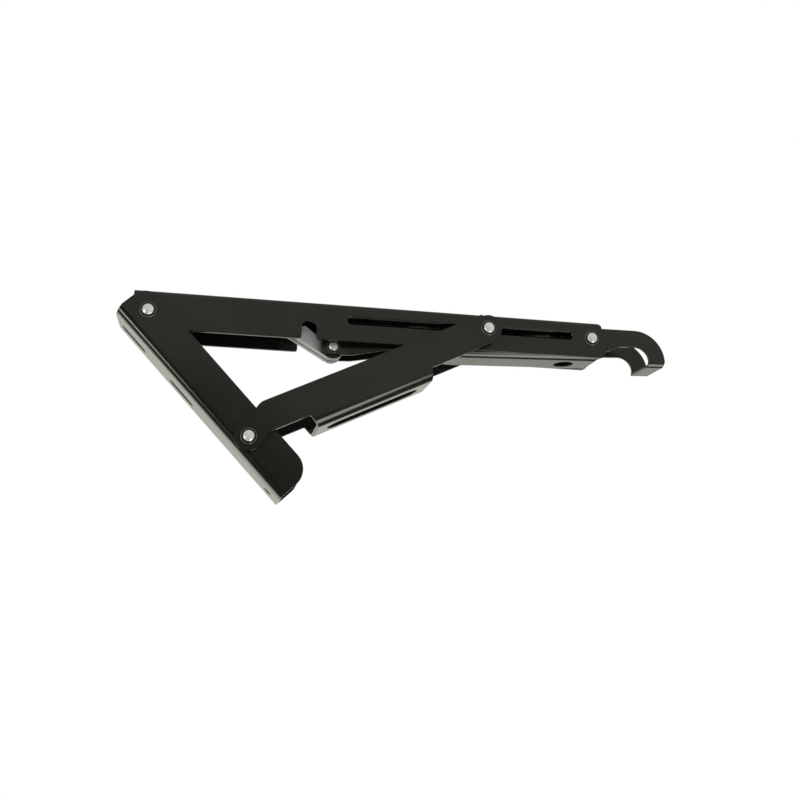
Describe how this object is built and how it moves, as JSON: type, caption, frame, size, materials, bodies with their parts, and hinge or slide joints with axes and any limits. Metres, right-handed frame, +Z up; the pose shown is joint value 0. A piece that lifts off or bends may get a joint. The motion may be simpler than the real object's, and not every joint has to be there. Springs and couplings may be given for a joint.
{
  "type": "drop leaf table bracket",
  "caption": "Folding bracket of pressed channels: a wall plate, a slotted top arm, a sliding strut and a spring release lever with a hook.",
  "frame": {"origin": "on the wall face, midway between the two screw slots", "axes": "+X out of the wall, +Y across the bracket, +Z up"},
  "size_m": [0.2563, 0.0484, 0.2531],
  "materials": {
    "black_paint": "satin",
    "bright_rivet": "satin",
    "black_washer": "satin",
    "spring_steel": "satin"
  },
  "bodies": {
    "wall": {"wall_plate": "black_paint", "hinge_rivet": "bright_rivet", "hinge_washers": "black_washer", "foot_rivets": "bright_rivet"},
    "hinge_core": {"hinge_spacer": "black_washer"},
    "arm": {"top_arm": "black_paint", "lever_rivet": "bright_rivet", "lever_washers": "black_washer", "lever_spacers": "black_washer"},
    "foot_core": {"foot_washers": "black_washer"},
    "strut": {"strut": "black_paint", "strut_head_rivets": "bright_rivet", "strut_head_washers": "black_washer"},
    "slot_washers": {"slot_washers": "black_washer"},
    "slot_pin": {"slot_pin": "bright_rivet"},
    "lever": {"release_lever": "black_paint", "latch_nose": "black_paint", "lever_spring": "spring_steel", "nose_rivet": "bright_rivet", "nose_washers": "black_washer", "nose_spacer": "black_washer"}
  },
  "joints": [
    {"name": "arm_opening", "type": "hinge", "parent": "wall", "child": "hinge_core", "pos_m": [0.0155, 0, 0.026], "axis": [0, -1, 0], "range_deg": [0, 43.3]},
    {"name": "arm_folding", "type": "hinge", "parent": "hinge_core", "child": "arm", "pos_m": [0.0155, 0, 0.026], "axis": [0, -1, 0], "range_deg": [-43.3, 0]},
    {"name": "strut_opening", "type": "hinge", "parent": "wall", "child": "foot_core", "pos_m": [0.0105, 0, -0.071], "axis": [0, -1, 0], "range_deg": [0, 52.7]},
    {"name": "strut_folding", "type": "hinge", "parent": "foot_core", "child": "strut", "pos_m": [0.0105, 0, -0.071], "axis": [0, -1, 0], "range_deg": [-66.2, 0]},
    {"name": "pin_opening", "type": "slide", "parent": "arm", "child": "slot_washers", "axis": [0.7278, 0, -0.6858], "range_m": [-0.08245, 0]},
    {"name": "pin_folding", "type": "slide", "parent": "slot_washers", "child": "slot_pin", "axis": [0.7278, 0, -0.6858], "range_m": [0, 0.05204]},
    {"name": "lever_release", "type": "hinge", "parent": "arm", "child": "lever", "pos_m": [0.22165, 0, -0.16483], "axis": [0, 1, 0], "range_deg": [0, 2.1], "stiffness_Nm_per_rad": 3, "springref_deg": 1.06}
  ],
  "couplings": [
    {"joint": "strut_opening", "follows": "arm_opening", "ratio": 1.217},
    {"joint": "strut_folding", "follows": "arm_folding", "ratio": 1.5288},
    {"joint": "pin_opening", "follows": "arm_opening", "m_per_rad": -0.10908},
    {"joint": "pin_folding", "follows": "arm_folding", "m_per_rad": -0.068845}
  ]
}
